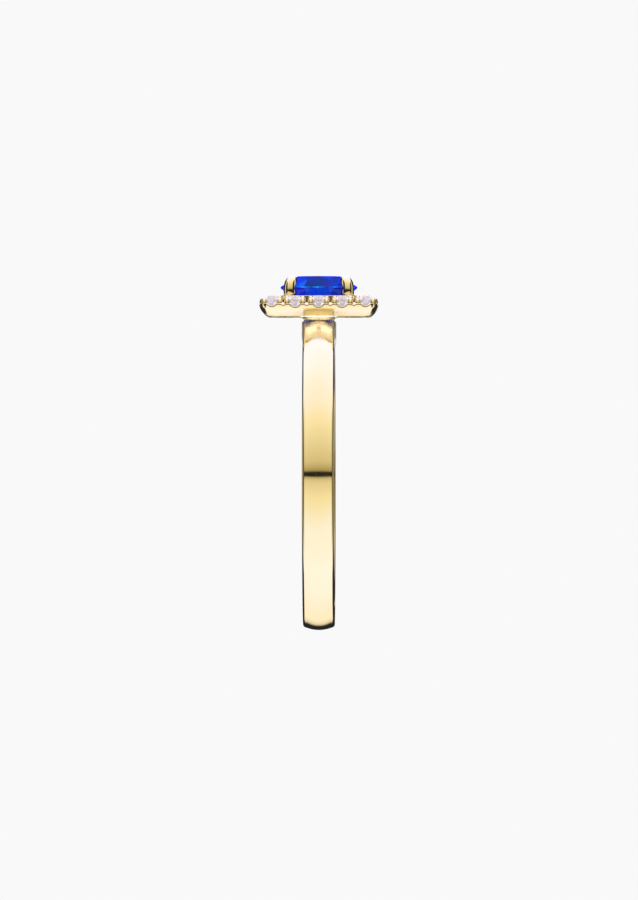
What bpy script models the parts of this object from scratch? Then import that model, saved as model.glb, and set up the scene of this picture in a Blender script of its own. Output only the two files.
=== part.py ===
"""Sapphire halo engagement ring.

The hoop turns about the X axis with its centre at the origin, so a finger goes through along X.
The head stands on +Z: a square halo tray with sixteen diamonds, and a round sapphire in four claws.
"""

import math

import bmesh
import bpy
from mathutils import Matrix, Vector

MM = 0.001

# Hoop
FINGER_RADIUS = 8.45 * MM
HOOP_WALL = 1.55 * MM
HOOP_WIDTH = 2.03 * MM
HOOP_CROWN_RISE = 0.25 * MM     # how far the outer face domes over its width
HOOP_EDGE = 0.17 * MM           # rounding along both outer rims
HOOP_BORE_EDGE = 0.10 * MM      # bevel along both inner rims
HOOP_FLARE = 0.09 * MM          # extra half width where the hoop meets the head
HOOP_FLARE_DROP = 0.62 * MM     # how far below the crown the flare dies out

# Clearance between pieces that touch, and how far the tray stands over the hoop
FIT = 0.03 * MM
TRAY_LIFT = 0.06 * MM

# Centre stone
CENTRE_RADIUS = 2.46 * MM
CENTRE_GIRDLE = 0.08 * MM
CENTRE_CROWN = 0.68 * MM
CENTRE_RISE = 0.83 * MM         # girdle of the sapphire over the girdles of the halo stones

# Halo stones and tray
HALO_RADIUS = 0.635 * MM
HALO_GIRDLE = 0.04 * MM
HALO_CROWN = 0.24 * MM
HALO_GAPS = 4                   # spaces between stones along one side of the square
TRAY_TUCK = 0.20 * MM           # how far the opening lies inside the sapphire's edge
TRAY_INNER_RIM = 0.14 * MM      # rail along the opening, as high as the prongs' tips
TRAY_OUTER_RIM = 0.18 * MM
TRAY_HEIGHT = 0.96 * MM
TRAY_CORNER = 0.80 * MM
SEAT_RISE = 0.10 * MM           # girdles of the halo stones over the tray's top face
SCALLOP_RADIUS = 0.44 * MM
CORNER_SCALLOP_RADIUS = 0.39 * MM
AZURE_RADIUS = 0.26 * MM
PRONG_RADIUS = 0.15 * MM
PRONG_TIP = 0.55                # tip of a prong as a share of its foot
PRONG_RISE = 0.30 * MM          # prong tips over the girdles of the halo stones
PRONG_TURN = 47                 # degrees from straight out (or in) to each prong of a stone

# Claws and gallery ring
CLAW_WIDTH = 0.94 * MM
CLAW_DEPTH = 0.86 * MM
CLAW_STAND_OFF = 0.11 * MM      # middle of a claw outside the sapphire's edge
CLAW_LEG_INSET = 0.07 * MM      # legs stand this much further in, inside the tray
CLAW_LEG_SIZE = 0.85            # and are this much slimmer
GALLERY_WIDTH = 0.55 * MM
GALLERY_RISE = 0.32 * MM        # top of the gallery ring over the underside of the tray
GALLERY_EDGE = 0.06 * MM
GALLERY_LIFT = 0.04 * MM        # its underside over the underside of the tray
GALLERY_FOOT = 1.04 * MM        # half width of the feet that reach down to the hoop

# Outer wall of the tray: share of the depth from the top, and inset
TRAY_WALL = [
    (0.0, 0.06 * MM), (0.10, 0.02 * MM), (0.28, 0.04 * MM), (0.48, 0.11 * MM), (0.66, 0.22 * MM),
    (0.80, 0.34 * MM), (0.92, 0.48 * MM), (1.0, 0.68 * MM),
]
# Bend of a claw over the crown: inset, height over the girdle, and shares of its width and depth
CLAW_BEND = [
    (0.0, -0.40 * MM, 1.0, 1.0), (0.0, 0.17 * MM, 1.0, 1.0), (0.05 * MM, 0.32 * MM, 0.98, 0.97),
    (0.17 * MM, 0.41 * MM, 0.92, 0.86), (0.32 * MM, 0.46 * MM, 0.80, 0.70),
    (0.46 * MM, 0.49 * MM, 0.58, 0.50), (0.58 * MM, 0.50 * MM, 0.24, 0.24),
]
CLAW_SQUARENESS = 0.75          # 1 is an ellipse, less is closer to a rounded rectangle

# Cut of the stones: tangents of the slopes, and places of the inner corners
PAVILION_SLOPE = math.tan(math.radians(40.5))
CENTRE_SLOPE = math.tan(math.radians(32))
HALO_SLOPE = math.tan(math.radians(34))
STAR_REACH = 0.5                # star facets reach half way from table to girdle
LOWER_HALF_REACH = 0.25         # pavilion break, as a share of the radius

# Places that follow from the sizes
HOOP_RADIUS = FINGER_RADIUS + HOOP_WALL
TRAY_BOTTOM = HOOP_RADIUS + TRAY_LIFT
TRAY_TOP = TRAY_BOTTOM + TRAY_HEIGHT
HALO_HEIGHT = TRAY_TOP + SEAT_RISE
RAIL_TOP = HALO_HEIGHT + PRONG_RISE
CENTRE_HEIGHT = HALO_HEIGHT + CENTRE_RISE
TRAY_INNER = CENTRE_RADIUS - TRAY_TUCK
STONE_ROW = TRAY_INNER + TRAY_INNER_RIM + HALO_RADIUS
TRAY_OUTER = STONE_ROW + HALO_RADIUS + TRAY_OUTER_RIM
STONE_PITCH = 2 * STONE_ROW / HALO_GAPS
CLAW_RADIUS = CENTRE_RADIUS + CLAW_STAND_OFF
LEG_RADIUS = CLAW_RADIUS - CLAW_LEG_INSET
LEG_DEPTH = CLAW_DEPTH * CLAW_LEG_SIZE
CLAW_SIDES = ("back_right", "back_left", "front_left", "front_right")


def clear_scene():
    for item in list(bpy.data.objects):
        bpy.data.objects.remove(item, do_unlink=True)


def new_collection(name):
    collection = bpy.data.collections.new(name)
    bpy.context.scene.collection.children.link(collection)
    return collection


def material(name, colour, roughness, metallic=0.0, transmission=0.0, ior=1.45):
    made = bpy.data.materials.new(name)
    made.use_nodes = True
    made.diffuse_color = (*colour, 1)
    shader = made.node_tree.nodes["Principled BSDF"]
    shader.inputs["Base Color"].default_value = (*colour, 1)
    shader.inputs["Roughness"].default_value = roughness
    shader.inputs["Metallic"].default_value = metallic
    shader.inputs["Transmission Weight"].default_value = transmission
    shader.inputs["IOR"].default_value = ior
    return made


def add_object(name, mesh, look, location=(0, 0, 0), smooth_below=35):
    mesh.materials.clear()
    mesh.materials.append(look)
    if smooth_below:
        mesh.shade_smooth()
        mesh.set_sharp_from_angle(angle=math.radians(smooth_below))
    item = bpy.data.objects.new(name, mesh)
    item.location = location
    PARTS.objects.link(item)
    return item


def add_cutter(name, mesh):
    item = bpy.data.objects.new(name, mesh)
    item.hide_render = True
    item.display_type = "WIRE"
    CUTTERS.objects.link(item)
    return item


def boolean(target, tool, operation="DIFFERENCE"):
    change = target.modifiers.new(tool.name, "BOOLEAN")
    change.operation = operation
    change.solver = "EXACT"
    change.object = tool


def mesh_from(bm, name):
    mesh = bpy.data.meshes.new(name)
    bm.normal_update()
    bm.to_mesh(mesh)
    bm.free()
    return mesh


def turned_mesh(name, profile, segments):
    """Turn a closed profile of (radius, height) points about Z and return the mesh."""
    mesh = bpy.data.meshes.new(name + "_profile")
    count = len(profile)
    edges = [(i, (i + 1) % count) for i in range(count)]
    mesh.from_pydata([(radius, 0, height) for radius, height in profile], edges, [])
    blank = bpy.data.objects.new(name + "_blank", mesh)
    CUTTERS.objects.link(blank)
    turn = blank.modifiers.new("turn", "SCREW")
    turn.steps = segments
    turn.render_steps = segments
    turn.use_merge_vertices = True
    turn.merge_threshold = 0.0001 * MM
    turned = bpy.data.meshes.new_from_object(blank.evaluated_get(bpy.context.evaluated_depsgraph_get()))
    turned.name = name
    bpy.data.objects.remove(blank, do_unlink=True)
    bpy.data.meshes.remove(mesh)
    return turned


def loft(rings, closed):
    """Skin equal rings of points; a closed loft joins the last ring to the first, else ends are capped."""
    bm = bmesh.new()
    rows = [[bm.verts.new(point) for point in ring] for ring in rings]
    count = len(rows[0])
    pairs = list(zip(rows, rows[1:]))
    if closed:
        pairs.append((rows[-1], rows[0]))
    for low, high in pairs:
        for i in range(count):
            j = (i + 1) % count
            bm.faces.new((low[i], low[j], high[j], high[i]))
    if not closed:
        bm.faces.new(rows[0])
        bm.faces.new(rows[-1])
    bmesh.ops.recalc_face_normals(bm, faces=bm.faces)
    return bm


def rounded_square(half, corner, height, steps=6):
    """Points round a square of the given half width with rounded corners."""
    points = []
    for side in range(4):
        start = math.radians(90 * side)
        middle = Vector((half - corner, half - corner, height))
        middle.rotate(Matrix.Rotation(start, 3, "Z"))
        for step in range(steps + 1):
            angle = start + math.radians(90) * step / steps
            points.append(middle + corner * Vector((math.cos(angle), math.sin(angle), 0)))
    return points


def stone_mesh(name, radius, girdle, crown, slope, sides, grow=0.0):
    """Round brilliant with the middle of its girdle at the origin, grown outwards by a clearance.

    Every facet plane moves out by the same amount, so a grown stone is the seat of a plain one.
    """
    rim = radius + grow
    top = girdle / 2 + grow * (math.hypot(1, slope) - slope)
    bottom = -girdle / 2 - grow * (math.hypot(1, PAVILION_SLOPE) - PAVILION_SLOPE)
    table = girdle / 2 + crown + grow
    table_radius = rim - (table - top) / slope
    half_turn = math.cos(math.pi / 8)
    star_radius = table_radius + STAR_REACH * (rim - table_radius)
    star_height = top + (rim - star_radius * half_turn) * slope
    break_radius = rim * LOWER_HALF_REACH
    break_height = bottom - (rim - break_radius * half_turn) * PAVILION_SLOPE

    def around(distance, height, turn, count=8):
        angles = [2 * math.pi * (i + turn) / count for i in range(count)]
        return [Vector((distance * math.cos(a), distance * math.sin(a), height)) for a in angles]

    def edge_height(angle, corner_height, inner):
        """Height of a half facet where it meets the girdle, at an angle round the stone."""
        eighth = math.pi / 8
        first = math.floor(angle / eighth) * eighth
        tip = eighth * (2 * math.floor(angle / (2 * eighth)) + 1)
        a = Vector((rim * math.cos(first), rim * math.sin(first), corner_height))
        b = Vector((rim * math.cos(first + eighth), rim * math.sin(first + eighth), corner_height))
        c = Vector((inner[0] * math.cos(tip), inner[0] * math.sin(tip), inner[1]))
        normal = (b - a).cross(c - a)
        x = rim * math.cos(angle)
        y = rim * math.sin(angle)
        return a.z - (normal.x * (x - a.x) + normal.y * (y - a.y)) / normal.z

    points = around(table_radius, table, 0) + around(star_radius, star_height, 0.5)
    points += around(break_radius, break_height, 0.5)
    points.append(Vector((0, 0, bottom - rim * PAVILION_SLOPE)))
    for i in range(sides):
        angle = 2 * math.pi * i / sides + 1e-9
        x = rim * math.cos(angle)
        y = rim * math.sin(angle)
        points.append(Vector((x, y, edge_height(angle, top, (star_radius, star_height)))))
        points.append(Vector((x, y, edge_height(angle, bottom, (break_radius, break_height)))))

    bm = bmesh.new()
    verts = [bm.verts.new(point) for point in points]
    hull = bmesh.ops.convex_hull(bm, input=verts)
    spare = [item for item in hull["geom_interior"] + hull["geom_unused"] if isinstance(item, bmesh.types.BMVert)]
    bmesh.ops.delete(bm, geom=list(set(spare)), context="VERTS")
    bmesh.ops.recalc_face_normals(bm, faces=bm.faces)
    return mesh_from(bm, name)


def centre_stone(name, grow=0.0):
    return stone_mesh(name, CENTRE_RADIUS, CENTRE_GIRDLE, CENTRE_CROWN, CENTRE_SLOPE, 32, grow)


def halo_stone(name, grow=0.0):
    return stone_mesh(name, HALO_RADIUS, HALO_GIRDLE, HALO_CROWN, HALO_SLOPE, 16, grow)


def halo_places():
    """Centres of the halo stones in turn round the square, starting at the front left corner."""
    corners = [(-1, -1), (1, -1), (1, 1), (-1, 1)]
    places = []
    for index, (x, y) in enumerate(corners):
        next_x, next_y = corners[(index + 1) % 4]
        for step in range(HALO_GAPS):
            share = step / HALO_GAPS
            spot = ((x + (next_x - x) * share) * STONE_ROW, (y + (next_y - y) * share) * STONE_ROW)
            places.append(Vector((*spot, HALO_HEIGHT)))
    return places


def outward(place):
    """Straight out of the square at a halo stone; None at a corner."""
    at_x = abs(abs(place.x) - STONE_ROW) < 0.01 * MM
    at_y = abs(abs(place.y) - STONE_ROW) < 0.01 * MM
    if at_x and at_y:
        return None
    if at_x:
        return Vector((math.copysign(1, place.x), 0, 0))
    return Vector((0, math.copysign(1, place.y), 0))


def joined_copies(name, mesh, places):
    """One mesh with a copy of the given mesh at each place."""
    bm = bmesh.new()
    for place in places:
        before = len(bm.verts)
        bm.from_mesh(mesh)
        bm.verts.ensure_lookup_table()
        bmesh.ops.translate(bm, verts=bm.verts[before:], vec=place)
    return mesh_from(bm, name)


def hoop_profile():
    """Section of the hoop as (radius, place across the width), down the outer side first."""
    half = HOOP_WIDTH / 2
    bend = (half ** 2 + HOOP_CROWN_RISE ** 2) / (2 * HOOP_CROWN_RISE)
    flank = half - HOOP_EDGE
    points = []
    for step in range(9):
        across = flank * (1 - step / 4)
        points.append((HOOP_RADIUS - bend + math.sqrt(bend ** 2 - across ** 2), across))
    shoulder = points[0][0]
    rim = []
    for angle in (math.radians(50), math.radians(90)):
        rim.append((shoulder - HOOP_EDGE * (1 - math.cos(angle)), flank + HOOP_EDGE * math.sin(angle)))
    bore = [(FINGER_RADIUS + HOOP_BORE_EDGE, half), (FINGER_RADIUS, half - HOOP_BORE_EDGE)]
    upper = rim + bore
    lower = [(radius, -across) for radius, across in upper]
    return points + lower + upper[::-1]


def build_hoop():
    """Hoop with a small flare under the head, turned about Z and then laid on the X axis."""
    mesh = turned_mesh("shank", hoop_profile(), 80)
    mesh.transform(Matrix.Rotation(math.radians(90), 4, "Y"))
    for vert in mesh.vertices:
        crown_height = HOOP_RADIUS * vert.co.z / math.hypot(vert.co.y, vert.co.z)
        rise = (crown_height - (HOOP_RADIUS - HOOP_FLARE_DROP)) / HOOP_FLARE_DROP
        if rise > 0:
            vert.co.x *= 1 + rise ** 2 * HOOP_FLARE / (HOOP_WIDTH / 2)
    hoop = add_object("shank", mesh, GOLD)
    drill = centre_stone("culet_drill", 4 * FIT)
    drill.transform(Matrix.Translation((0, 0, CENTRE_HEIGHT)))
    boolean(hoop, add_cutter("culet_drill", drill))


def build_gallery_ring():
    """Flat ring inside the claws' feet, with a front and a back foot coped to sit on the hoop."""
    outer = LEG_RADIUS - LEG_DEPTH / 2 - FIT
    inner = outer - GALLERY_WIDTH
    top = TRAY_BOTTOM + GALLERY_RISE
    bottom = HOOP_RADIUS - HOOP_CROWN_RISE
    edge = GALLERY_EDGE
    profile = [(outer, top - edge), (outer, bottom), (inner, bottom), (inner, top - edge)]
    profile += [(inner + edge, top), (outer - edge, top)]
    ring = add_object("gallery_ring", turned_mesh("gallery_ring", profile, 32), GOLD)
    bm = bmesh.new()
    bmesh.ops.create_cone(
        bm, cap_ends=True, segments=80, radius1=HOOP_RADIUS + FIT, radius2=HOOP_RADIUS + FIT,
        depth=4 * CENTRE_RADIUS, matrix=Matrix.Rotation(math.radians(90), 4, "Y"),
    )
    boolean(ring, add_cutter("hoop_coping", mesh_from(bm, "hoop_coping")))
    bm = bmesh.new()
    for side in (-1, 1):
        middle = Vector((side * (GALLERY_FOOT + outer), 0, TRAY_BOTTOM + GALLERY_LIFT - outer))
        bmesh.ops.create_cube(bm, size=2 * outer, matrix=Matrix.Translation(middle))
    boolean(ring, add_cutter("gallery_relief", mesh_from(bm, "gallery_relief")))


def claw_stations():
    """Centre line and half sizes of a claw, from its foot in the tray to its tip on the crown."""
    wide = CLAW_WIDTH / 2
    deep = CLAW_DEPTH / 2
    stations = [
        (LEG_RADIUS, TRAY_BOTTOM + FIT, wide * CLAW_LEG_SIZE, deep * CLAW_LEG_SIZE),
        (LEG_RADIUS, RAIL_TOP, wide * CLAW_LEG_SIZE, deep * CLAW_LEG_SIZE),
    ]
    for inset, rise, wide_share, deep_share in CLAW_BEND:
        stations.append((CLAW_RADIUS - inset, CENTRE_HEIGHT + rise, wide * wide_share, deep * deep_share))
    return stations


def build_claw(side, turn):
    """Claw bent over the sapphire's crown and notched for its girdle."""
    stations = claw_stations()
    rings = []
    for index, (radial, height, wide, deep) in enumerate(stations):
        before = stations[max(index - 1, 0)]
        after = stations[min(index + 1, len(stations) - 1)]
        along = Vector((after[0] - before[0], 0, after[1] - before[1])).normalized()
        across = Vector((along.z, 0, -along.x))
        centre = Vector((radial, 0, height))
        ring = []
        for step in range(12):
            angle = 2 * math.pi * step / 12
            u = math.copysign(abs(math.cos(angle)) ** CLAW_SQUARENESS, math.cos(angle))
            v = math.copysign(abs(math.sin(angle)) ** CLAW_SQUARENESS, math.sin(angle))
            ring.append(centre + across * u * deep + Vector((0, 1, 0)) * v * wide)
        rings.append(ring)
    mesh = mesh_from(loft(rings, closed=False), "claw")
    mesh.transform(Matrix.Rotation(math.radians(turn), 4, "Z"))
    claw = add_object("claw_" + side, mesh, GOLD)
    boolean(claw, bpy.data.objects["sapphire_notch"])


def tray_body():
    """Square frame: outer wall curving in towards its underside, and a rail along the opening."""
    rings = []
    for share, inset in TRAY_WALL:
        height = TRAY_TOP - TRAY_HEIGHT * share
        rings.append(rounded_square(TRAY_OUTER - inset, TRAY_CORNER - inset * 0.3, height))
    claw_back = LEG_RADIUS + LEG_DEPTH / 2 + 2 * FIT
    corner = (TRAY_INNER * math.sqrt(2) - claw_back) / (math.sqrt(2) - 1)
    rail = TRAY_INNER_RIM - 1.5 * FIT
    for half, height in (
        (TRAY_INNER, TRAY_BOTTOM), (TRAY_INNER, TRAY_TOP), (TRAY_INNER, RAIL_TOP),
        (TRAY_INNER + rail, RAIL_TOP), (TRAY_INNER + rail, TRAY_TOP),
    ):
        rings.append(rounded_square(half, corner + half - TRAY_INNER, height))
    return mesh_from(loft(rings, closed=True), "halo_tray")


def prong_mesh(places):
    """Small tapered prongs that stand on the tray beside the stones."""
    spots = []
    low = TRAY_TOP - 0.25 * MM
    high = RAIL_TOP + 0.01 * MM
    reach = HALO_RADIUS + PRONG_RADIUS * (1 - PRONG_TIP)
    turn = math.radians(PRONG_TURN)
    for index, place in enumerate(places):
        following = places[(index + 1) % len(places)]
        along = (following - place).normalized()
        aside = Vector((along.y, -along.x, 0))
        for stone, way in ((place, along), (following, -along)):
            for side in (aside, -aside):
                spot = stone + reach * (way * math.sin(turn) + side * math.cos(turn))
                if all((spot - other).length > 2 * PRONG_RADIUS for other in spots):
                    spots.append(spot)
    bm = bmesh.new()
    for spot in spots:
        bmesh.ops.create_cone(
            bm, cap_ends=True, segments=6, radius1=PRONG_RADIUS, radius2=PRONG_RADIUS * PRONG_TIP,
            depth=high - low, matrix=Matrix.Translation((spot.x, spot.y, (low + high) / 2)),
        )
    return mesh_from(bm, "halo_prongs")


def scallop_mesh(places):
    """Level cylinders that open the outer wall in front of each stone."""
    bm = bmesh.new()
    for place in places:
        away = outward(place)
        if away:
            cuts = [(away, SCALLOP_RADIUS, HALO_RADIUS * 0.5)]
        else:
            near = CORNER_SCALLOP_RADIUS * 1.1
            cuts = [
                (Vector((math.copysign(1, place.x), 0, 0)), CORNER_SCALLOP_RADIUS, near),
                (Vector((0, math.copysign(1, place.y), 0)), CORNER_SCALLOP_RADIUS, near),
            ]
        for way, radius, start in cuts:
            length = 3 * HALO_RADIUS
            turn = Vector((0, 0, 1)).rotation_difference(way).to_matrix().to_4x4()
            bmesh.ops.create_cone(
                bm, cap_ends=True, segments=16, radius1=radius, radius2=radius, depth=length,
                matrix=Matrix.Translation(place + way * (start + length / 2)) @ turn,
            )
    return mesh_from(bm, "halo_scallops")


def azure_mesh(places):
    """Holes from the tray's underside up to the points of the stones."""
    bm = bmesh.new()
    low = TRAY_BOTTOM - 0.2 * MM
    high = HALO_HEIGHT - HALO_RADIUS * PAVILION_SLOPE * 0.8
    for place in places:
        bmesh.ops.create_cone(
            bm, cap_ends=True, segments=10, radius1=AZURE_RADIUS, radius2=AZURE_RADIUS, depth=high - low,
            matrix=Matrix.Translation((place.x, place.y, (low + high) / 2)),
        )
    return mesh_from(bm, "halo_azures")


def build_tray(places):
    """Halo tray: prongs raised on the frame, then seats, scallops and azures cut through it."""
    tray = add_object("halo_tray", tray_body(), GOLD)
    boolean(tray, add_cutter("halo_prongs", prong_mesh(places)), "UNION")
    seats = joined_copies("halo_seats", halo_stone("halo_seat", FIT), places)
    boolean(tray, add_cutter("halo_seats", seats))
    boolean(tray, add_cutter("halo_scallops", scallop_mesh(places)))
    boolean(tray, add_cutter("halo_azures", azure_mesh(places)))


def build_stones(places):
    """Sapphire in the claws and a diamond in each seat."""
    add_object("centre_sapphire", centre_stone("sapphire"), SAPPHIRE, (0, 0, CENTRE_HEIGHT), 0)
    diamond = halo_stone("diamond")
    for number, place in enumerate(places, 1):
        add_object(f"halo_diamond_{number:02d}", diamond, DIAMOND, place, 0)


clear_scene()
PARTS = new_collection("engagement_ring")
CUTTERS = new_collection("engagement_ring_cutters")
GOLD = material("yellow_gold", (0.94, 0.70, 0.33), 0.08, metallic=1.0)
SAPPHIRE = material("sapphire", (0.01, 0.05, 0.55), 0.02, transmission=1.0, ior=1.77)
DIAMOND = material("diamond", (0.97, 0.97, 1.0), 0.01, transmission=1.0, ior=2.42)

stone_places = halo_places()
build_hoop()
build_gallery_ring()
notch = centre_stone("sapphire_notch", FIT)
notch.transform(Matrix.Translation((0, 0, CENTRE_HEIGHT)))
add_cutter("sapphire_notch", notch)
for number, side_name in enumerate(CLAW_SIDES):
    build_claw(side_name, 45 + 90 * number)
build_tray(stone_places)
build_stones(stone_places)
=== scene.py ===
import math

import bmesh
import bpy
import numpy as np
from mathutils import Matrix, Vector


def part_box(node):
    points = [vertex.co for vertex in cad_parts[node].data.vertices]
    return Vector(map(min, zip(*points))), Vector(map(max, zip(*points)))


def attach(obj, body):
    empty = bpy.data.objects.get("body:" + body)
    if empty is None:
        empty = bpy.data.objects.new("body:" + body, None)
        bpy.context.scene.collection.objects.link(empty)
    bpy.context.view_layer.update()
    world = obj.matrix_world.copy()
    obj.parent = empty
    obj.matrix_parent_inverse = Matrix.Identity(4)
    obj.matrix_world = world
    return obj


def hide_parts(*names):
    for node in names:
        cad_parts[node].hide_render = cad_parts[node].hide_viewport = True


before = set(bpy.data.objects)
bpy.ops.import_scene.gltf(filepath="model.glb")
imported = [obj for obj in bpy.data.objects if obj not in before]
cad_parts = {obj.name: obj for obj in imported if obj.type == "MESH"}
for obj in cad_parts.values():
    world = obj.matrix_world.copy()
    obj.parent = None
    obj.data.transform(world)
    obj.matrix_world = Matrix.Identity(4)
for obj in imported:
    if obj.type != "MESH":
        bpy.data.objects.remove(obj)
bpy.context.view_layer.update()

# --- Camera -------------------------------------------------------------------------------------
# A long lens level with the finger hole, looking along the ring's Y axis at the edge of the hoop,
# so that the hoop is a slim upright bar with the head on top.
MM = 0.001
CAMERA_DISTANCE = 0.6
CAMERA_SIDEWAYS = math.radians(0.4)
PICTURE_HEIGHT = 57.7 * MM          # how much of the world the picture is tall at the ring
PICTURE_MIDDLE = 1.54 * MM

lens = bpy.data.cameras.new("long_lens")
lens.sensor_width = 36
lens.lens = lens.sensor_width * CAMERA_DISTANCE / PICTURE_HEIGHT
camera = bpy.data.objects.new("camera", lens)
camera.location = (
    CAMERA_DISTANCE * math.sin(CAMERA_SIDEWAYS),
    -CAMERA_DISTANCE * math.cos(CAMERA_SIDEWAYS),
    PICTURE_MIDDLE,
)
camera.rotation_euler = (math.radians(90), 0, CAMERA_SIDEWAYS)
bpy.context.scene.collection.objects.link(camera)
bpy.context.scene.camera = camera


# --- Studio light -------------------------------------------------------------------------------
# Two big soft panels over and under the ring, with a thin dark gap between them level with the lens.
# A dark card stands at each side with a narrow upright light in its middle. The room is plain and pale.
class Wire:
    """An output of a shader node, with arithmetic that adds Math nodes."""

    def __init__(self, tree, socket=None):
        self.tree = tree
        self.socket = socket

    def node(self, kind, settings=None, inputs=None, output=0):
        """Add a node, set it up, feed its sockets and return one of its outputs."""
        made = self.tree.nodes.new(kind)
        for name, value in (settings or {}).items():
            if name == "stops":
                ramp = made.color_ramp
                while len(ramp.elements) < len(value):
                    ramp.elements.new(1)
                for element, (place, colour) in zip(ramp.elements, value):
                    element.position = place
                    element.color = (*colour, 1)
            else:
                setattr(made, name, value)
        for name, value in (inputs or {}).items():
            if isinstance(value, Wire):
                self.tree.links.new(value.socket, made.inputs[name])
            else:
                made.inputs[name].default_value = value
        return Wire(self.tree, made.outputs[output])

    def beside(self, output):
        """Another output of the same node."""
        return Wire(self.tree, self.socket.node.outputs[output])

    def math(self, operation, *values):
        return self.node("ShaderNodeMath", {"operation": operation}, dict(enumerate(values)))

    def step(self, low, high):
        """Smooth rise from 0 to 1 between two values."""
        settings = {"interpolation_type": "SMOOTHSTEP"}
        inputs = {"Value": self, "From Min": low, "From Max": high}
        return self.node("ShaderNodeMapRange", settings, inputs)

    def __add__(self, other):
        return self.math("ADD", self, other)

    def __radd__(self, other):
        return self.math("ADD", other, self)

    def __sub__(self, other):
        return self.math("SUBTRACT", self, other)

    def __rsub__(self, other):
        return self.math("SUBTRACT", other, self)

    def __mul__(self, other):
        return self.math("MULTIPLY", self, other)

    def __rmul__(self, other):
        return self.math("MULTIPLY", other, self)

    def mix(self, low, high):
        """Colour from low to high as this value goes from 0 to 1."""
        return self.node("ShaderNodeMix", {"data_type": "RGBA"}, {0: self, 6: low, 7: high}, output=2)


# Brightness by angle, in degrees: 0 is level towards the lens, 90 is up, 180 is level behind
PANELS = [
    (-180, (0.02, 0.02, 0.02)), (-154, (0.02, 0.02, 0.02)), (-148, (0.83, 0.75, 0.59)),
    (-139, (1.10, 1.00, 0.84)), (-108, (1.15, 1.08, 1.15)), (-76, (1.20, 1.12, 1.24)),
    (-42, (1.04, 1.05, 1.06)), (-19, (1.00, 0.90, 0.60)), (-6, (0.82, 0.71, 0.45)),
    (-3, (0.64, 0.55, 0.29)), (-1.4, (0.02, 0.02, 0.02)), (1.4, (0.02, 0.02, 0.02)),
    (3, (0.45, 0.36, 0.16)), (6, (0.56, 0.49, 0.24)), (10, (0.72, 0.62, 0.36)),
    (25, (0.88, 0.78, 0.51)), (40, (1.03, 0.93, 0.65)), (57, (1.10, 1.03, 1.00)),
    (84, (1.15, 1.12, 1.28)), (105, (1.20, 1.16, 1.50)), (135, (1.25, 1.20, 1.72)),
    (180, (1.00, 1.00, 1.00)),
]
BRIGHTEST = 1.8                     # the panels' colours are kept under 1 and made this much brighter
CARD_DARKNESS = (0.03, 0.025, 0.02)
CARD_EDGE = (0.68, 0.74)            # how far to the side the cards start and are full
CARD_WRAP = 0.5                     # how much the cards reach round the back
CARD_TOP = (0.50, 0.75)             # how far up they begin to fade and are gone
SIDE_LIGHT = (0.80, 0.72, 0.50)
SIDE_LIGHT_EDGE = (0.975, 0.992)
ROOM = (0.947, 0.947, 0.947)


def dimmed(colour):
    """A colour brought under 1 for the panels' ramp."""
    return tuple(part / BRIGHTEST for part in colour)


studio = bpy.data.worlds.new("studio")
studio.use_nodes = True
bpy.context.scene.world = studio
air = Wire(studio.node_tree)
direction = air.node("ShaderNodeTexCoord", output="Generated")
side = air.node("ShaderNodeSeparateXYZ", inputs={"Vector": direction})
depth = side.beside("Y")
height = side.beside("Z")
turn = air.math("ARCTAN2", height, 0 - depth) * (0.5 / math.pi) + 0.5
panel_stops = [(angle / 360 + 0.5, dimmed(colour)) for angle, colour in PANELS]
panels = air.node("ShaderNodeValToRGB", {"stops": panel_stops}, {"Fac": turn})
sideways = air.math("ABSOLUTE", side)
behind = air.math("MAXIMUM", depth, 0.0)
cards = (sideways + CARD_WRAP * behind).step(*CARD_EDGE) * (1 - height.step(*CARD_TOP))
level_length = air.math("SQRT", 1.0001 - height * height)
side_lights = air.math("DIVIDE", sideways, level_length).step(*SIDE_LIGHT_EDGE)
card_faces = side_lights.mix((*dimmed(CARD_DARKNESS), 1), (*dimmed(SIDE_LIGHT), 1))
lit = cards.mix(panels, card_faces)
seen = air.node("ShaderNodeLightPath", output="Is Camera Ray")
glow = studio.node_tree.nodes["Background"]
room = air.node("ShaderNodeBackground", inputs={"Color": (*ROOM, 1)})
studio.node_tree.links.new(lit.socket, glow.inputs["Color"])
glow.inputs["Strength"].default_value = BRIGHTEST
lighting = Wire(studio.node_tree, glow.outputs[0])
shown = air.node("ShaderNodeMixShader", inputs={0: seen, 1: lighting, 2: room})
studio.node_tree.links.new(shown.socket, studio.node_tree.nodes["World Output"].inputs["Surface"])
bpy.context.scene.view_settings.view_transform = "Standard"
bpy.context.scene.view_settings.look = "None"


# --- Floor --------------------------------------------------------------------------------------
# The pale sheet under the ring, as even as the room behind it. Only the lens sees it: the ring
# reflects the panels.
FLOOR_DROP = 40 * MM
FLOOR_RADIUS = 3.0

bpy.ops.mesh.primitive_circle_add(
    vertices=64, radius=FLOOR_RADIUS, fill_type="NGON", location=(0, 0, -FLOOR_DROP),
)
floor = bpy.context.object
floor.name = "floor"
floor_paper = bpy.data.materials.new("floor_paper")
floor_paper.use_nodes = True
floor_paper.node_tree.nodes.clear()
paper = Wire(floor_paper.node_tree)
paper_light = paper.node("ShaderNodeEmission", inputs={"Color": (*ROOM, 1)})
paper_output = floor_paper.node_tree.nodes.new("ShaderNodeOutputMaterial")
floor_paper.node_tree.links.new(paper_light.socket, paper_output.inputs["Surface"])
floor.data.materials.append(floor_paper)
floor.visible_diffuse = False
floor.visible_glossy = False
floor.visible_transmission = False
floor.visible_shadow = False


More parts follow.
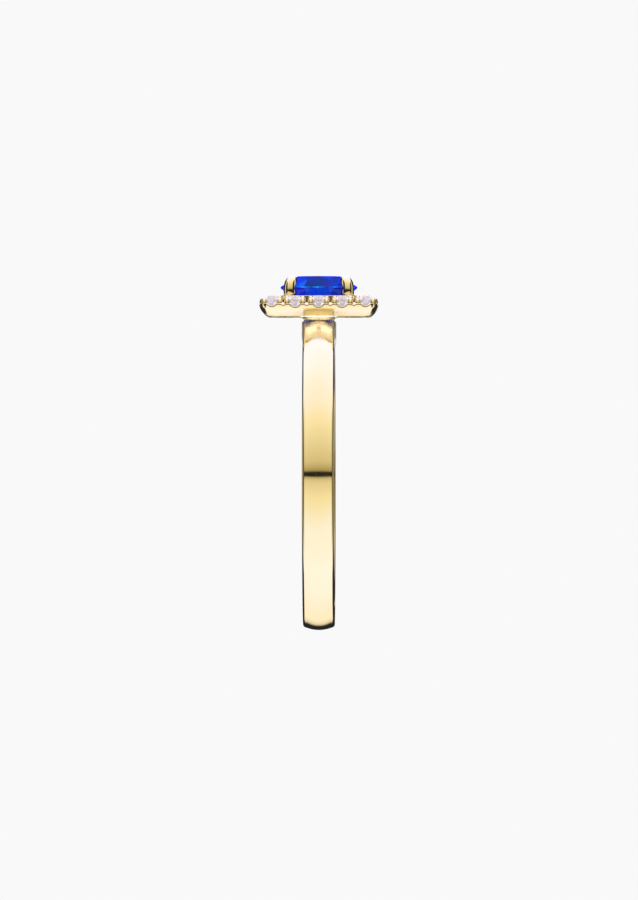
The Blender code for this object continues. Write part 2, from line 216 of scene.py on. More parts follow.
# --- Hoop ---------------------------------------------------------------------------------------
# Plain band of 18 carat yellow gold, drawn to a low dome outside and flat inside, bent round,
# soldered under the head and polished to a mirror.
CLEARANCE = 0.03 * MM
HOOP_CROWN_RISE = 0.25 * MM
HOOP_EDGE = 0.22 * MM               # rounding of both outer rims
HOOP_BORE_SOFT = 0.6                # rounding of the inner rims, as a share of the outer ones
HOOP_WIDTH = 2.03 * MM
HOOP_FLARE = 0.09 * MM              # extra half width where the hoop meets the head
HOOP_FLARE_DROP = 0.62 * MM         # how far below the crown the flare dies out
HOOP_WALL = 1.55 * MM
HOOP_STEPS = 320
BAND_SOFT_FROM = 8.3 * MM           # the polish softens towards the head, over these heights
BAND_SOFT_TO = 8.9 * MM
BAND_SOFT_HAZE = 0.30
YELLOW_GOLD = (0.95, 0.84, 0.58)
DEEP_GOLD = (0.94, 0.82, 0.55)


def polished_gold(name, buff_scale, haze=0.035, soft_from=None, soft_to=None, soft_haze=0.0):
    """Mirror-polished gold: a little colour drift, soft haze patches and the finest buffing lines.

    Between two heights the polish may turn softer, where a buffing wheel can't reach.
    """
    made = bpy.data.materials.new(name)
    made.use_nodes = True
    shader = made.node_tree.nodes["Principled BSDF"]
    metal = Wire(made.node_tree)
    place = metal.node("ShaderNodeTexCoord", output="Object")
    drift = metal.node("ShaderNodeTexNoise", inputs={"Vector": place, "Scale": 400.0, "Detail": 2.0})
    patches = metal.node("ShaderNodeTexNoise", inputs={"Vector": place, "Scale": 1500.0, "Detail": 3.0})
    stretched = metal.node("ShaderNodeMapping", inputs={"Vector": place, "Scale": buff_scale})
    lines = metal.node("ShaderNodeTexNoise", inputs={"Vector": stretched, "Scale": 1.0, "Detail": 2.0})
    colour = drift.step(0.3, 0.7).mix((*YELLOW_GOLD, 1), (*DEEP_GOLD, 1))
    rough = patches.step(0.35, 0.75) * 0.03 + haze
    if soft_haze:
        level = metal.node("ShaderNodeSeparateXYZ", inputs={"Vector": place}, output="Z")
        rough = rough + level.step(soft_from, soft_to) * soft_haze
    bump = metal.node("ShaderNodeBump", inputs={"Height": lines, "Strength": 0.05, "Distance": 0.002 * MM})
    shader.inputs["Metallic"].default_value = 1
    made.node_tree.links.new(colour.socket, shader.inputs["Base Color"])
    made.node_tree.links.new(rough.socket, shader.inputs["Roughness"])
    made.node_tree.links.new(bump.socket, shader.inputs["Normal"])
    return made


def add_piece(name, mesh, finish, nodes, sharp=35):
    """Put a finished mesh in the scene as a piece that stands for the given CAD nodes."""
    mesh.materials.clear()
    mesh.materials.append(finish)
    mesh.shade_smooth()
    mesh.set_sharp_from_angle(angle=math.radians(sharp))
    piece = bpy.data.objects.new(name, mesh)
    bpy.context.scene.collection.objects.link(piece)
    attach(piece, "root")
    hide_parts(*nodes)
    return piece


def grid_skin(name, rows, closed_rows=True):
    """Skin a grid of points that closes round each row, and from the last row to the first if asked."""
    rows = np.asarray(rows)
    count, around = rows.shape[:2]
    index = np.arange(count * around).reshape(count, around)
    low = index if closed_rows else index[:-1]
    high = np.roll(index, -1, axis=0) if closed_rows else index[1:]
    quads = np.stack([low, np.roll(low, -1, axis=1), np.roll(high, -1, axis=1), high], axis=-1)
    mesh = bpy.data.meshes.new(name)
    faces = quads.reshape(-1, 4).tolist()
    if not closed_rows:
        faces += [index[0].tolist(), index[-1].tolist()]
    mesh.from_pydata(rows.reshape(-1, 3).tolist(), [], faces)
    bm = bmesh.new()
    bm.from_mesh(mesh)
    bmesh.ops.recalc_face_normals(bm, faces=bm.faces)
    bm.to_mesh(mesh)
    bm.free()
    return mesh


hoop_radius = -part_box("shank")[0].z
finger_radius = hoop_radius - HOOP_WALL
hoop_half = HOOP_WIDTH / 2


def hoop_section():
    """Section of the hoop as (radius, across): domed outer face, rounded rims and flat bore."""
    bend = (hoop_half ** 2 + HOOP_CROWN_RISE ** 2) / (2 * HOOP_CROWN_RISE)
    slope = math.asin((hoop_half - HOOP_EDGE) / bend)
    outer = [
        (hoop_radius - bend + bend * math.cos(a), bend * math.sin(a))
        for a in np.linspace(0, slope, 14)
    ]
    start_radius, start_across = outer[-1]
    centre = (start_radius - HOOP_EDGE * math.cos(slope), start_across - HOOP_EDGE * math.sin(slope))
    spread = (hoop_half - centre[1]) / HOOP_EDGE
    rim = [
        (centre[0] + HOOP_EDGE * math.cos(a), centre[1] + HOOP_EDGE * spread * math.sin(a))
        for a in np.linspace(slope, math.pi / 2, 10)[1:]
    ]
    soft = HOOP_EDGE * HOOP_BORE_SOFT
    bore = [
        (finger_radius + soft - soft * math.sin(a), hoop_half - soft + soft * math.cos(a))
        for a in np.linspace(0, math.pi / 2, 7)
    ]
    half = outer + rim + bore
    return half + [(radius, -across) for radius, across in half[:0:-1]]


section = hoop_section()
hoop_rows = []
for step in range(HOOP_STEPS):
    angle = 2 * math.pi * step / HOOP_STEPS
    rise = max(0.0, 1 - hoop_radius * (1 - math.cos(angle)) / HOOP_FLARE_DROP)
    flare = 1 + rise ** 2 * HOOP_FLARE / hoop_half
    hoop_rows.append([
        (across * flare, radius * math.sin(angle), radius * math.cos(angle))
        for radius, across in section
    ])
gold_band = polished_gold(
    "gold_band", (150.0, 150.0, 150.0),
    soft_from=BAND_SOFT_FROM, soft_to=BAND_SOFT_TO, soft_haze=BAND_SOFT_HAZE,
)
add_piece("hoop", grid_skin("hoop", hoop_rows), gold_band, ["shank"])


# --- Gallery ring -------------------------------------------------------------------------------
# Flat ring of gold wire that ties the claws' feet together. In front and at the back it has a foot,
# filed to the curve of the hoop and soldered to it.
GALLERY_WIDTH = 0.55 * MM
GALLERY_LIFT = 0.04 * MM            # its underside over the underside of the frame
GALLERY_FOOT = 1.04 * MM            # half width of a foot
GALLERY_STEPS = 192
GALLERY_SOFT = 0.05 * MM

gallery_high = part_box("gallery_ring")[1]
gallery_outer = gallery_high.x
gallery_inner = gallery_outer - GALLERY_WIDTH
gallery_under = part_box("halo_tray")[0].z + GALLERY_LIFT
gallery_rows = []
for step in range(GALLERY_STEPS):
    angle = 2 * math.pi * step / GALLERY_STEPS
    row = []
    for radius, drop in (
        (gallery_inner, None), (gallery_outer - GALLERY_SOFT, None), (gallery_outer, 2 * GALLERY_SOFT),
        (gallery_outer, GALLERY_SOFT), (gallery_outer - 0.3 * GALLERY_SOFT, 0.3 * GALLERY_SOFT),
        (gallery_outer - GALLERY_SOFT, 0), (gallery_inner + GALLERY_SOFT, 0),
        (gallery_inner + 0.3 * GALLERY_SOFT, 0.3 * GALLERY_SOFT), (gallery_inner, GALLERY_SOFT),
    ):
        x = radius * math.cos(angle)
        y = radius * math.sin(angle)
        foot = min(1.0, max(0.0, (GALLERY_FOOT - abs(x)) / GALLERY_SOFT))
        coped = math.sqrt((hoop_radius + CLEARANCE) ** 2 - y ** 2)
        lower = gallery_under - (gallery_under - coped) * foot
        z = lower if drop is None else gallery_high.z - drop
        if drop == 2 * GALLERY_SOFT:
            z = lower + GALLERY_SOFT
        row.append((x, y, z))
    gallery_rows.append(row)
gold_setting = polished_gold("gold_setting", (900.0, 900.0, 200.0))
gold_gallery = polished_gold("gold_gallery", (900.0, 900.0, 900.0), haze=0.32)
add_piece("gallery", grid_skin("gallery", gallery_rows), gold_gallery, ["gallery_ring"])


# --- Halo tray ----------------------------------------------------------------------------------
# Square gold frame with rounded corners, cast with a wall that curves in to its underside. Its rim
# is cut into a scallop in front of every stone, and each stone has a drilled seat with a hole below.
TRAY_BOTTOM_INSETS = [
    (0.00, 0.70), (0.01, 0.62), (0.04, 0.53), (0.10, 0.44), (0.18, 0.35), (0.30, 0.25), (0.42, 0.17),
    (0.56, 0.10), (0.70, 0.055), (0.85, 0.025), (1.00, 0.01),
]                                   # height over the underside and inset of the wall, in mm
TRAY_CORNER = 0.80 * MM
TRAY_INNER_RIM = 0.14 * MM
INNER_CORNER = 0.66 * MM            # rounding of the opening
CORNER_SHRINK = 0.3                 # how much the corners tighten where the wall comes in
RAIL_WIDTH = 0.095 * MM             # thin rail that stands round the opening
RAIL_DROP = 0.01 * MM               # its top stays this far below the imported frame's top
RIM_CREST = 0.825 * MM              # rim between stones, over the underside
RIM_DIP = 0.07 * MM
RIM_DIP_SPREAD = 0.13 * MM
RIM_LIP = 0.035 * MM
RIM_SLOPE = 0.12                    # share of the way in over which the rim falls to the top face
RIM_UPRIGHT = 0.06 * MM             # the wall stands upright just below its edge
TABLE_RISE = 0.90 * MM              # top of the frame under the stones, over the underside
SCALLOP_RADIUS = 0.44 * MM
CORNER_SCALLOP = 0.39 * MM
DIAMOND_CROWN = 0.24 * MM
DIAMOND_GIRDLE = 0.04 * MM
PAVILION_SLOPE = math.tan(math.radians(40.5))
AZURE_RADIUS = 0.23 * MM
AZURE_SHIFT = 0.17 * MM             # the holes start this much nearer the middle than the stones
AZURE_SOFT = 0.025 * MM
AZURE_DEPTH = 0.35 * MM
UNDERSIDE_PAINTED_GLOW = 1.20              # strength of a painted glow on the frame's underside, which the hoop mirrors as pale light
PAINTED_GLOW_COLOUR = (1.0, 0.97, 0.92)    # its colour; the painted glow fades out beside the hoop
PAINTED_GLOW_EDGE = (1.00 * MM, 1.30 * MM)
SIDE_SHARE = 0.80                   # share of each quarter's points on its straight side
TRAY_AROUND = 800

halo_names = [f"halo_diamond_{number:02d}" for number in range(1, 17)]
halo_middles = []
for name in halo_names:
    low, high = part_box(name)
    halo_middles.append(((low.x + high.x) / 2, (low.y + high.y) / 2))
stone_low, stone_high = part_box(halo_names[0])
stone_radius = (stone_high.x - stone_low.x) / 2
girdle_height = stone_high.z - DIAMOND_CROWN - DIAMOND_GIRDLE / 2
row_half = max(x for x, y in halo_middles)
stone_pitch = row_half / 2
tray_low, tray_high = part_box("halo_tray")
tray_bottom = tray_low.z
tray_outer = tray_high.x + 0.02 * MM
tray_inner = row_half - stone_radius - TRAY_INNER_RIM


def outline(share, half, corner):
    """Points round a rounded square; share is 0 to 1 round it, half and corner may differ by point."""
    quarter = np.floor(share * 4)
    local = share * 4 - quarter
    straight = half - corner
    run = np.clip(local / SIDE_SHARE, 0, 1) * 2 - 1
    bend = np.clip((local - SIDE_SHARE) / (1 - SIDE_SHARE), 0, 1) * math.pi / 2
    x = straight * run + corner * np.sin(bend)
    y = -straight - corner * np.cos(bend)
    turned = quarter * math.pi / 2
    return x * np.cos(turned) - y * np.sin(turned), x * np.sin(turned) + y * np.cos(turned)


def scallop_height(x, y):
    """Height of the U cuts that open the rim in front of each stone; far above elsewhere."""
    found = np.full(x.shape, 1.0)
    for sx, sy in halo_middles:
        for way_x, way_y in ((1, 0), (-1, 0), (0, 1), (0, -1)):
            if sx * way_x + sy * way_y < row_half * 0.99:
                continue
            corner = abs(sx) > row_half * 0.99 and abs(sy) > row_half * 0.99
            radius = CORNER_SCALLOP if corner else SCALLOP_RADIUS
            out = (x - sx) * way_x + (y - sy) * way_y
            aside = np.abs((x - sx) * way_y - (y - sy) * way_x)
            inside = (aside < radius) & (out > stone_radius * 0.3)
            cut = girdle_height - np.sqrt(np.maximum(radius ** 2 - aside ** 2, 0))
            found = np.where(inside, np.minimum(found, cut), found)
    return found


def rim_height(x, y):
    """Height of the wall's top edge: crests beside the stones, and a small dip half way between them."""
    height = np.full(x.shape, tray_bottom + RIM_CREST)
    for gap in (-1.5, -0.5, 0.5, 1.5):
        for sign in (-1, 1):
            along = gap * stone_pitch
            for gx, gy in ((along, sign * tray_outer), (sign * tray_outer, along)):
                near = np.exp(-((x - gx) ** 2 + (y - gy) ** 2) / RIM_DIP_SPREAD ** 2)
                height = height - RIM_DIP * near
    return np.minimum(height, scallop_height(x, y))


def seat_height(x, y):
    """Height of the cone drilled for each stone's lower half; far above elsewhere."""
    found = np.full(x.shape, 1.0)
    for sx, sy in halo_middles:
        away = np.hypot(x - sx, y - sy)
        cone = girdle_height - DIAMOND_GIRDLE - (stone_radius - away) * PAVILION_SLOPE - CLEARANCE
        found = np.minimum(found, np.where(away < stone_radius + CLEARANCE, cone, 1.0))
    return found


def azure_depth(x, y):
    """How far the holes drilled from below go up, one under each stone."""
    found = np.zeros(x.shape)
    for sx, sy in halo_middles:
        inward = 1 - AZURE_SHIFT / row_half
        away = np.hypot(x - sx * inward, y - sy * inward)
        edge = np.clip((AZURE_RADIUS + AZURE_SOFT - away) / (2 * AZURE_SOFT), 0, 1)
        found = np.maximum(found, AZURE_DEPTH * edge * edge * (3 - 2 * edge))
    return found


def tray_rows():
    """Rows of points: up the outer wall, over the lip, in over the seats and down the inner wall."""
    share = np.arange(TRAY_AROUND) / TRAY_AROUND
    heights, insets = np.array(TRAY_BOTTOM_INSETS).T * MM
    rail_top = tray_high.z - RAIL_DROP

    def ring(inset, z):
        x, y = outline(share, tray_outer - inset, TRAY_CORNER - inset * CORNER_SHRINK)
        return np.stack([x, y, z + 0 * x], axis=-1)

    edge_x, edge_y = outline(share, tray_outer, TRAY_CORNER)
    edge = rim_height(edge_x, edge_y)
    rows = []
    upright = edge - RIM_LIP - RIM_UPRIGHT
    edge_inset = np.interp(upright - tray_bottom, heights, insets)
    for rise in np.concatenate([np.linspace(0, 0.06, 4), np.linspace(0.1, 1, 18)]):
        z = tray_bottom + rise * (upright - tray_bottom)
        rows.append(ring(np.interp(z - tray_bottom, heights, insets), z))
    for rise in np.linspace(0, 1, 7)[1:]:
        rows.append(ring(edge_inset, upright + rise * RIM_UPRIGHT))
    for bend in np.linspace(0, math.pi / 2, 6)[1:]:
        lip_inset = edge_inset + RIM_LIP * (1 - math.cos(bend))
        rows.append(ring(lip_inset, edge - RIM_LIP + RIM_LIP * math.sin(bend)))
    start = edge_inset + RIM_LIP
    wall_half = tray_outer - start
    wall_corner = TRAY_CORNER - start * CORNER_SHRINK
    rail_half = tray_inner + RAIL_WIDTH
    for part in np.linspace(0, 1, 30)[1:]:
        half = wall_half + (rail_half - wall_half) * part
        corner = wall_corner + (INNER_CORNER - wall_corner) * part
        x, y = outline(share, half, corner)
        rim_share = max(0, 1 - part / RIM_SLOPE)
        plain = tray_bottom + TABLE_RISE + (edge - tray_bottom - TABLE_RISE) * rim_share
        z = np.minimum(np.minimum(plain, scallop_height(x, y)), seat_height(x, y))
        rows.append(np.stack([x, y, z], axis=-1))
    for inset, drop in ((0.0, 0.04), (0.0, 0.02), (0.006, 0.006), (0.02, 0.0)):
        x, y = outline(share, rail_half - inset * MM, INNER_CORNER)
        rows.append(np.stack([x, y, rail_top - drop * MM + 0 * x], axis=-1))
    for inset, drop in ((0.02, 0.0), (0.006, 0.006), (0.0, 0.02), (0.0, 0.04)):
        x, y = outline(share, tray_inner + inset * MM, INNER_CORNER)
        rows.append(np.stack([x, y, rail_top - drop * MM + 0 * x], axis=-1))
    for part in np.linspace(0, 1, 6)[1:]:
        rows.append(np.stack([x, y, rail_top + (tray_bottom - rail_top) * part + 0 * x], axis=-1))
    foot_corner = TRAY_CORNER - insets[0] * CORNER_SHRINK
    for part in np.linspace(0, 1, 32)[1:-1]:
        half = tray_inner + (tray_outer - insets[0] - tray_inner) * part
        corner = INNER_CORNER + (foot_corner - INNER_CORNER) * part
        x, y = outline(share, half, corner)
        rows.append(np.stack([x, y, tray_bottom + azure_depth(x, y)], axis=-1))
    return rows


gold_tray = polished_gold(
    "gold_tray", (400.0, 400.0, 1200.0), haze=0.09,
    soft_from=tray_bottom + 0.40 * MM, soft_to=tray_bottom, soft_haze=0.20,
)
tray_shader = gold_tray.node_tree.nodes["Principled BSDF"]
tray_gold = Wire(gold_tray.node_tree)
tray_place = tray_gold.node("ShaderNodeTexCoord", output="Object")
tray_level = tray_gold.node("ShaderNodeSeparateXYZ", inputs={"Vector": tray_place}, output="Z")
tray_across = tray_gold.math("ABSOLUTE", tray_level.beside("X"))
# Painted light: the underside glows though it is no lamp, so the hoop under it mirrors a pale glow.
underside = tray_level.step(tray_bottom + 0.04 * MM, tray_bottom + 0.01 * MM)
underside = underside * (1 - tray_across.step(*PAINTED_GLOW_EDGE))
painted_glow = underside.mix((0, 0, 0, 1), (*PAINTED_GLOW_COLOUR, 1))
gold_tray.node_tree.links.new(painted_glow.socket, tray_shader.inputs["Emission Color"])
tray_shader.inputs["Emission Strength"].default_value = UNDERSIDE_PAINTED_GLOW
tray_mesh = grid_skin("halo_frame", tray_rows())
add_piece("halo_frame", tray_mesh, gold_tray, ["halo_tray"], 40)


# --- Halo prongs --------------------------------------------------------------------------------
# Rounded prongs raised from the tray's own gold, four to a stone, with their tips pushed over the
# crowns. At each corner one prong stands outside the stone and one inside it.
def geometry_tree(name, sizes):
    """A Geometry Nodes tree with named size inputs, and a maker of its nodes."""
    tree = bpy.data.node_groups.new(name, "GeometryNodeTree")
    tree.interface.new_socket("Geometry", in_out="OUTPUT", socket_type="NodeSocketGeometry")
    sockets = {}
    for label, value in sizes.items():
        socket = tree.interface.new_socket(label, in_out="INPUT", socket_type="NodeSocketFloat")
        socket.default_value = value
        sockets[label] = socket.identifier
    entry = tree.nodes.new("NodeGroupInput")
    output = tree.nodes.new("NodeGroupOutput")
    return tree, entry, output, sockets


def tree_node(tree, kind, settings=None, inputs=None):
    """Add a geometry node and return it; inputs are plain values or other nodes' outputs."""
    made = tree.nodes.new(kind)
    for name, value in (settings or {}).items():
        setattr(made, name, value)
    for name, value in (inputs or {}).items():
        if isinstance(value, bpy.types.NodeSocket):
            tree.links.new(value, made.inputs[name])
        else:
            made.inputs[name].default_value = value
    return made


def mesh_from_tree(name, tree, sockets, sizes):
    """Run a tree on an empty object with the given sizes and return the result as a plain mesh."""
    holder = bpy.data.objects.new(name, bpy.data.meshes.new(name))
    bpy.context.scene.collection.objects.link(holder)
    modifier = holder.modifiers.new("make", "NODES")
    modifier.node_group = tree
    for label, value in sizes.items():
        modifier[sockets[label]] = value
    bpy.context.view_layer.update()
    mesh = bpy.data.meshes.new_from_object(holder.evaluated_get(bpy.context.evaluated_depsgraph_get()))
    bpy.data.objects.remove(holder, do_unlink=True)
    return mesh


PRONG_WIDTH = 0.19 * MM             # radius of a prong
PRONG_TALL = 0.34 * MM              # half its height
INNER_RISE = 0.17 * MM              # prongs inside the stones stand this much higher
PRONG_REACH = 0.755 * MM            # from a stone's middle
PRONG_TURN = math.radians(42)       # from straight out to each prong
CORNER_TURN = math.radians(92)      # the same for the two prongs beside a corner stone
CORNER_REACH = 0.8                  # the prong outside a corner stone stands this much closer
prong_sizes = {
    "Row": row_half * 2, "Radius": PRONG_WIDTH, "Half height": PRONG_TALL,
    "Reach": PRONG_REACH, "Level": tray_high.z - PRONG_TALL - INNER_RISE, "Inner rise": INNER_RISE,
}
tree, entry, output, sockets = geometry_tree("halo_prongs", prong_sizes)
square = tree_node(
    tree, "GeometryNodeCurvePrimitiveQuadrilateral",
    inputs={"Width": entry.outputs["Row"], "Height": entry.outputs["Row"]},
)
places = tree_node(
    tree, "GeometryNodeCurveToPoints", {"mode": "COUNT"}, {"Curve": square.outputs[0], "Count": 16},
)
ball = tree_node(
    tree, "GeometryNodeMeshUVSphere",
    inputs={"Segments": 20, "Rings": 14, "Radius": entry.outputs["Radius"]},
)
stretch = tree_node(tree, "ShaderNodeMath", {"operation": "DIVIDE"})
tree.links.new(entry.outputs["Half height"], stretch.inputs[0])
tree.links.new(entry.outputs["Radius"], stretch.inputs[1])
taller = tree_node(tree, "ShaderNodeCombineXYZ", inputs={"X": 1.0, "Y": 1.0, "Z": stretch.outputs[0]})
prong = tree_node(
    tree, "GeometryNodeTransform", inputs={"Geometry": ball.outputs[0], "Scale": taller.outputs[0]},
)
index = tree_node(tree, "GeometryNodeInputIndex")
quarter = tree_node(tree, "ShaderNodeMath", {"operation": "MODULO"}, {0: index.outputs[0], 1: 4.0})
at_corner = tree_node(
    tree, "FunctionNodeCompare", {"data_type": "FLOAT", "operation": "LESS_THAN"},
    {"A": quarter.outputs[0], "B": 0.5},
)
at_side = tree_node(tree, "FunctionNodeBooleanMath", {"operation": "NOT"}, {0: at_corner.outputs[0]})
joined = tree_node(tree, "GeometryNodeJoinGeometry")
side_spots = ((PRONG_TURN, 1), (-PRONG_TURN, 1), (math.pi - PRONG_TURN, 1), (math.pi + PRONG_TURN, 1))
corner_spots = ((0.0, CORNER_REACH), (CORNER_TURN, 1), (-CORNER_TURN, 1), (math.pi, 1))
for chosen, spots in ((at_side, side_spots), (at_corner, corner_spots)):
    cluster = tree_node(tree, "GeometryNodeJoinGeometry")
    for angle, share in spots:
        flat = tree_node(
            tree, "ShaderNodeVectorMath", {"operation": "SCALE"},
            {0: (share * math.cos(angle), share * math.sin(angle), 0)},
        )
        tree.links.new(entry.outputs["Reach"], flat.inputs["Scale"])
        lifted = tree_node(
            tree, "ShaderNodeMath", {"operation": "MULTIPLY"},
            {0: entry.outputs["Inner rise"], 1: 1.0 if math.cos(angle) < -0.5 else 0.0},
        )
        upward = tree_node(tree, "ShaderNodeCombineXYZ", inputs={"Z": lifted.outputs[0]})
        spot = tree_node(
            tree, "ShaderNodeVectorMath", {"operation": "ADD"}, {0: flat.outputs[0], 1: upward.outputs[0]},
        )
        moved = tree_node(
            tree, "GeometryNodeTransform",
            inputs={"Geometry": prong.outputs[0], "Translation": spot.outputs[0]},
        )
        tree.links.new(moved.outputs[0], cluster.inputs[0])
    placed = tree_node(
        tree, "GeometryNodeInstanceOnPoints",
        inputs={
            "Points": places.outputs["Points"],
            "Selection": chosen.outputs[0],
            "Instance": cluster.outputs[0],
        },
    )
    position = tree_node(tree, "GeometryNodeInputPosition")
    apart = tree_node(tree, "ShaderNodeSeparateXYZ", inputs={0: position.outputs[0]})
    side_signs = []                 # 1 or -1 on a side of the square that faces that way, else 0
    for axis in ("X", "Y"):
        share_out = tree_node(
            tree, "ShaderNodeMath", {"operation": "MULTIPLY"}, {0: apart.outputs[axis], 1: 1.001 / row_half},
        )
        side_sign = tree_node(tree, "ShaderNodeMath", {"operation": "TRUNC"}, {0: share_out.outputs[0]})
        side_signs.append(side_sign)
    facing = tree_node(tree, "ShaderNodeMath", {"operation": "ARCTAN2"})
    tree.links.new(side_signs[1].outputs[0], facing.inputs[0])
    tree.links.new(side_signs[0].outputs[0], facing.inputs[1])
    rotation = tree_node(tree, "ShaderNodeCombineXYZ", inputs={"Z": facing.outputs[0]})
    turned = tree_node(
        tree, "GeometryNodeRotateInstances",
        inputs={"Instances": placed.outputs[0], "Rotation": rotation.outputs[0]},
    )
    tree.links.new(turned.outputs[0], joined.inputs[0])
level = tree_node(tree, "ShaderNodeCombineXYZ", inputs={"Z": entry.outputs["Level"]})
raised = tree_node(
    tree, "GeometryNodeTransform",
    inputs={"Geometry": joined.outputs[0], "Translation": level.outputs[0]},
)
real = tree_node(tree, "GeometryNodeRealizeInstances", inputs={0: raised.outputs[0]})
finish = tree_node(
    tree, "GeometryNodeSetMaterial", inputs={"Geometry": real.outputs[0], "Material": gold_setting},
)
tree.links.new(finish.outputs[0], output.inputs[0])
prong_mesh = mesh_from_tree("halo_prongs", tree, sockets, prong_sizes)
add_piece("halo_prongs", prong_mesh, gold_setting, ["halo_tray"], 60)


# --- Halo diamonds ------------------------------------------------------------------------------
# Sixteen round brilliants, each dropped in its seat. They are clear stone that bends and mirrors the
# light, and on top of that each facet glows with a painted shade of light.
DIAMOND_INDEX = 2.42
FACET_SPAN = 0.62                   # how much of the painted shades the upper facets run through
LOWER_LOSS = 0.34                   # how much less of them the lower facets run through
SIDE_PAINTED_LIGHT = 0.50                    # how far up the painted shades the four open sides lift the lower half, as painted light
GIRDLE_PAINTED_HIGHLIGHT = 0.40                  # and how far up the girdle stands, as a painted highlight


def cut_stone(name, index, body, painted_shades, sheen, tint, fire, glow):
    """Clear cut stone with painted light: each facet glows with a painted shade, picked by the way it faces.

    The painted glow of the lower half is brightest towards the four sides that lie open between the claws or
    prongs.
    """
    made = bpy.data.materials.new(name)
    made.use_nodes = True
    shader = made.node_tree.nodes["Principled BSDF"]
    crystal = Wire(made.node_tree)
    facing = crystal.node("ShaderNodeTexCoord", output="Normal")
    apart = crystal.node("ShaderNodeSeparateXYZ", inputs={"Vector": facing})
    azimuth = crystal.math("ARCTAN2", apart.beside("Y"), apart)
    four_sides = crystal.math("COSINE", azimuth * 4.0).step(0.0, 0.9)
    lower_half = (0 - apart.beside("Z")).step(0.05, 0.30)
    girdle = 1 - crystal.math("ABSOLUTE", apart.beside("Z")).step(0.05, 0.20)
    facets = crystal.node("ShaderNodeTexNoise", inputs={"Vector": facing, "Scale": fire, "Detail": 1.0})
    place = facets.step(0.30, 0.70) * (FACET_SPAN - LOWER_LOSS * lower_half)
    place = place + lower_half * four_sides * SIDE_PAINTED_LIGHT + girdle * GIRDLE_PAINTED_HIGHLIGHT
    # Painted light: these shades go into the emission, so each facet glows with its painted shade.
    stops = [(step / (len(painted_shades) - 1), shade) for step, shade in enumerate(painted_shades)]
    colour = crystal.node("ShaderNodeValToRGB", {"stops": stops}, {"Fac": place})
    # The body tint also goes lighter or darker from facet to facet, by the same facet pattern.
    depths = facets.step(0.3, 0.7).mix(*((*shade, 1) for shade in body))
    made.node_tree.links.new(depths.socket, shader.inputs["Base Color"])
    made.node_tree.links.new(colour.socket, shader.inputs["Emission Color"])
    shader.inputs["Emission Strength"].default_value = glow
    shader.inputs["Roughness"].default_value = 0.0
    shader.inputs["IOR"].default_value = index
    shader.inputs["Specular IOR Level"].default_value = sheen
    shader.inputs["Specular Tint"].default_value = (*tint, 1)
    shader.inputs["Transmission Weight"].default_value = 1
    shader.inputs["Coat Weight"].default_value = 1
    shader.inputs["Coat Roughness"].default_value = 0.0
    shader.inputs["Coat IOR"].default_value = 1.0
    shader.inputs["Coat Tint"].default_value = (*tint, 1)
    return made


DIAMOND_BODY = [(0.80, 0.79, 0.84), (0.99, 0.99, 1.0)]
# Painted light: the shades the diamonds' facets glow with.
DIAMOND_PAINTED_LIGHT = [
    (0.10, 0.09, 0.14), (0.90, 0.90, 0.95), (0.50, 0.40, 0.60), (1.0, 1.0, 0.98), (0.45, 0.60, 0.55),
]
diamond = cut_stone(
    "diamond", DIAMOND_INDEX, DIAMOND_BODY, DIAMOND_PAINTED_LIGHT,
    sheen=0.5, tint=(1.0, 1.0, 1.0), fire=4.0, glow=0.13,
)
for name in halo_names:
    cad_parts[name].material_slots[0].material = diamond


# --- Centre sapphire ----------------------------------------------------------------------------
# Round brilliant of strong royal blue. Most of its blue is painted light: its facets glow, brightest towards
# the open sides between the claws.
SAPPHIRE_INDEX = 1.77
SAPPHIRE_BODY = [(0.0002, 0.001, 0.015), (0.0005, 0.005, 0.06)]
# Painted light: the blues the sapphire's facets glow with, strong enough to make most of its colour.
SAPPHIRE_PAINTED_LIGHT = [
    (0.018, 0.030, 0.08), (0.060, 0.025, 0.19), (0.018, 0.030, 0.27), (0.012, 0.10, 0.42),
    (0.020, 0.36, 0.62), (0.030, 0.60, 0.78), (0.150, 1.00, 0.85),
]

sapphire = cut_stone(
    "sapphire", SAPPHIRE_INDEX, SAPPHIRE_BODY, SAPPHIRE_PAINTED_LIGHT,
    sheen=0.05, tint=(0.38, 0.56, 1.0), fire=3.2, glow=1.1,
)
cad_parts["centre_sapphire"].material_slots[0].material = sapphire


# --- Claws --------------------------------------------------------------------------------------
# Four gold claws, one at each corner of the opening, filed round outside and flatter inside. Their
# tips are bent over the sapphire's crown, and they close round its girdle.
CLAW_WIDTH = 0.42 * MM              # half width
CLAW_BACK = 0.42 * MM               # from its middle to its round outer side
CLAW_BELLY = 0.30 * MM              # and to its flat inner side
CLAW_STAND_OFF = 0.14 * MM          # middle of a claw outside the sapphire's edge
LEG_INSET = 0.10 * MM               # its leg stands this much further in, inside the frame
LEG_WIDE = 0.90                     # and is this much slimmer across and through
LEG_DEEP = 0.85
LEG_TOP = 0.04 * MM                 # it ends this far below the frame's rail
GIRDLE_DROP = 0.72 * MM             # from the sapphire's table to the middle of its girdle
CLAW_POINTS = 16
CLAW_INNER_SQUARENESS = 0.45        # 1 is round, less is flatter with tighter corners
CLAW_NODES = {
    "claw_back_right": 45, "claw_back_left": 135, "claw_front_left": 225, "claw_front_right": 315,
}                                   # degrees from +X

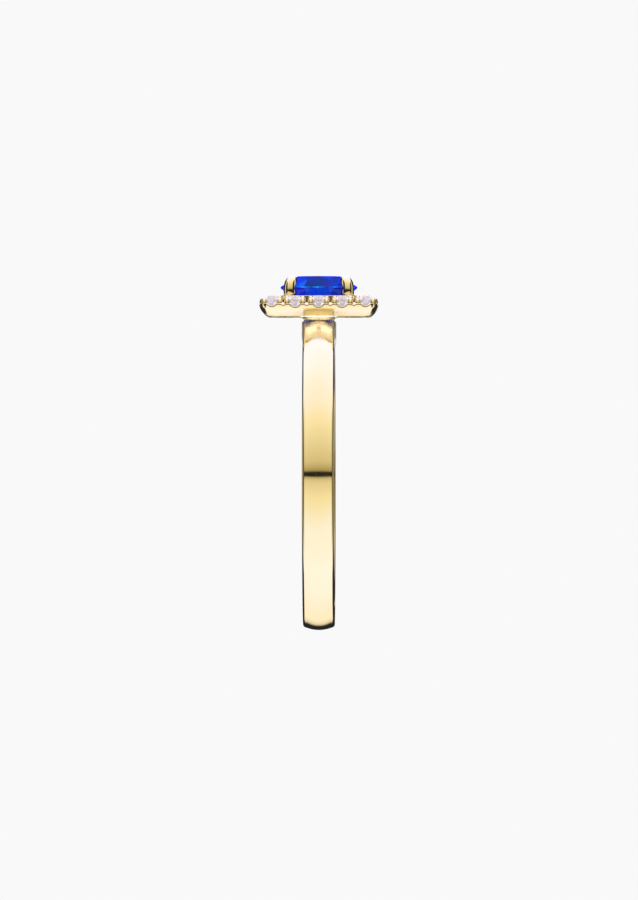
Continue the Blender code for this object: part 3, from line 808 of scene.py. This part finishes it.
sapphire_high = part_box("centre_sapphire")[1]
sapphire_radius = sapphire_high.x
claw_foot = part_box("claw_front_left")[0].z
girdle_line = sapphire_high.z - GIRDLE_DROP
claw_path = [
    (0.00, -0.44, 1.00, 1.00), (0.00, -0.34, 1.00, 1.00), (0.00, -0.18, 1.00, 1.00),
    (0.00, -0.02, 1.00, 1.00), (0.03, 0.18, 0.97, 0.98), (0.09, 0.32, 0.93, 0.93),
    (0.20, 0.42, 0.86, 0.82), (0.34, 0.48, 0.74, 0.64), (0.47, 0.51, 0.54, 0.44),
    (0.56, 0.52, 0.24, 0.20),
]                                   # in from the straight part and up from the girdle in mm, then size


def claw_mesh(turn):
    """Smooth claw along its bent centre line, turned to its corner."""
    line = sapphire_radius + CLAW_STAND_OFF
    stations = [
        (Vector((line - LEG_INSET, 0, height)), LEG_WIDE, LEG_DEEP)
        for height in (claw_foot, claw_foot + 0.02 * MM, tray_high.z - LEG_TOP)
    ]
    for inward, up, wide, deep in claw_path:
        stations.append((Vector((line - inward * MM, 0, girdle_line + up * MM)), wide, deep))
    rows = []
    for index, (middle, wide, deep) in enumerate(stations):
        before = stations[max(index - 1, 0)][0]
        after = stations[min(index + 1, len(stations) - 1)][0]
        along = (after - before).normalized()
        across = Vector((along.z, 0, -along.x))
        row = []
        for step in range(CLAW_POINTS):
            angle = 2 * math.pi * step / CLAW_POINTS
            outward = math.cos(angle) > 0
            squareness = 1.0 if outward else CLAW_INNER_SQUARENESS
            u = math.copysign(abs(math.cos(angle)) ** squareness, math.cos(angle))
            v = math.copysign(abs(math.sin(angle)) ** squareness, math.sin(angle))
            thick = deep * (CLAW_BACK if outward else CLAW_BELLY)
            row.append(middle + across * (u * thick) + Vector((0, v * wide * CLAW_WIDTH, 0)))
        rows.append([tuple(point) for point in row])
    cage = bpy.data.objects.new("claw_cage", grid_skin("claw_cage", rows, closed_rows=False))
    bpy.context.scene.collection.objects.link(cage)
    smooth = cage.modifiers.new("smooth", "SUBSURF")
    smooth.levels = 3
    smooth.render_levels = 3
    bpy.context.view_layer.update()
    mesh = bpy.data.meshes.new_from_object(cage.evaluated_get(bpy.context.evaluated_depsgraph_get()))
    bpy.data.objects.remove(cage, do_unlink=True)
    mesh.transform(Matrix.Rotation(math.radians(turn), 4, "Z"))
    return mesh


for name, turn in CLAW_NODES.items():
    add_piece("gold_" + name, claw_mesh(turn), gold_setting, [name], 60)
